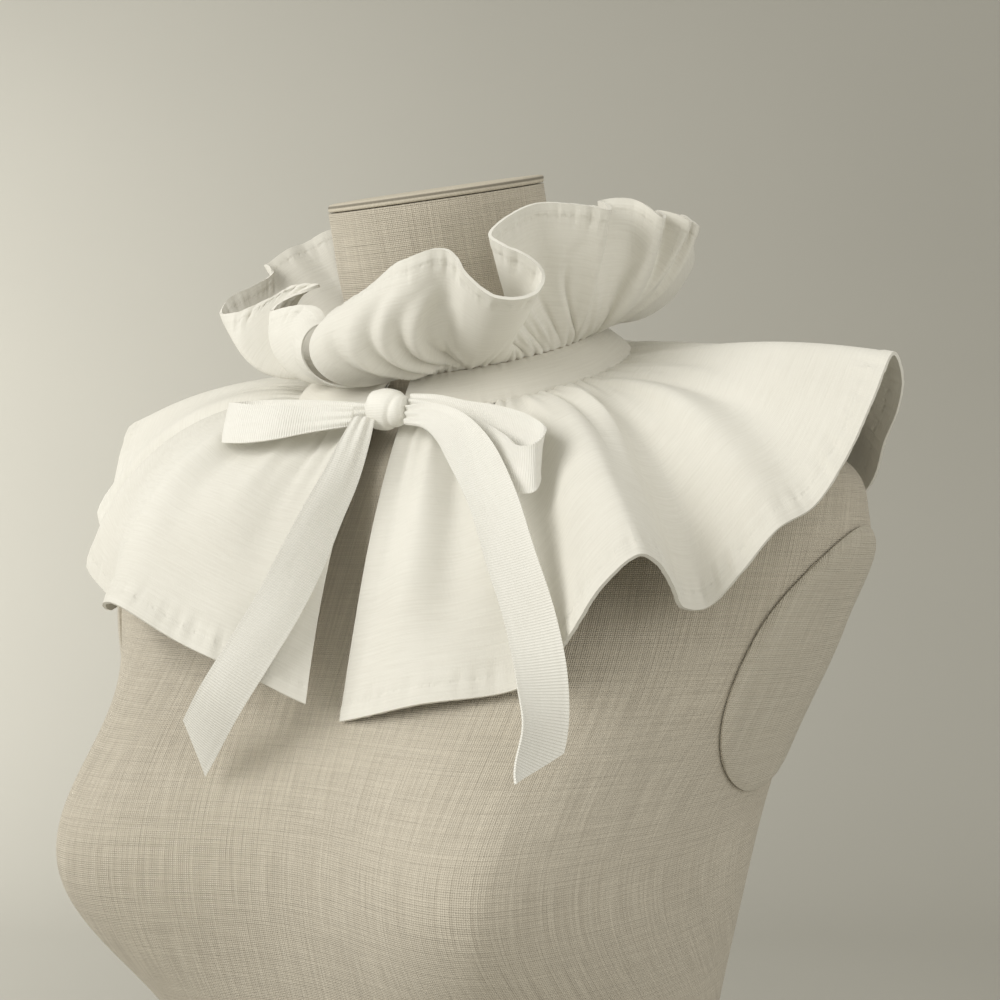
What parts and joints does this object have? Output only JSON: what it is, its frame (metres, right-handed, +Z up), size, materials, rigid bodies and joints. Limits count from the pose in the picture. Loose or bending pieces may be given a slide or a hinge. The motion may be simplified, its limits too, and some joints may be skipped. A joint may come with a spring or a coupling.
{
  "type": "detachable ruffle collar with a ribbon tie, worn on a limbless dress form",
  "caption": "White cotton neck collar: a standing ruffle and a deep flared flounce on a narrow band, closed with a ribbon bow, standing on a linen dress form",
  "frame": {"origin": "middle of the flat base of the dress form", "axes": "+Z up the form; -Y is the front of the collar, +X the wearer's left"},
  "size_m": [0.4431, 0.3376, 0.717],
  "materials": {
    "linen": "plain-weave linen stretched over the form",
    "linen_cap": "linen lid with a turned edge",
    "linen_plate": "linen-covered oval plate",
    "band_cotton": "folded plain cotton, matt",
    "collar_cotton": "crisp plain-weave cotton, matt",
    "ribbon": "fine ribbed ribbon, slight sheen"
  },
  "bodies": {
    "root": {"dress_form": "linen", "neck_cap": "linen_cap", "arm_plate_left": "linen_plate", "arm_plate_right": "linen_plate", "neckband": "band_cotton", "upper_ruffle": "collar_cotton", "lower_flounce": "collar_cotton", "bow_knot": "ribbon", "bow_loop_left": "ribbon", "bow_loop_right": "ribbon", "bow_tail_left": "ribbon", "bow_tail_right": "ribbon"}
  },
  "joints": []
}
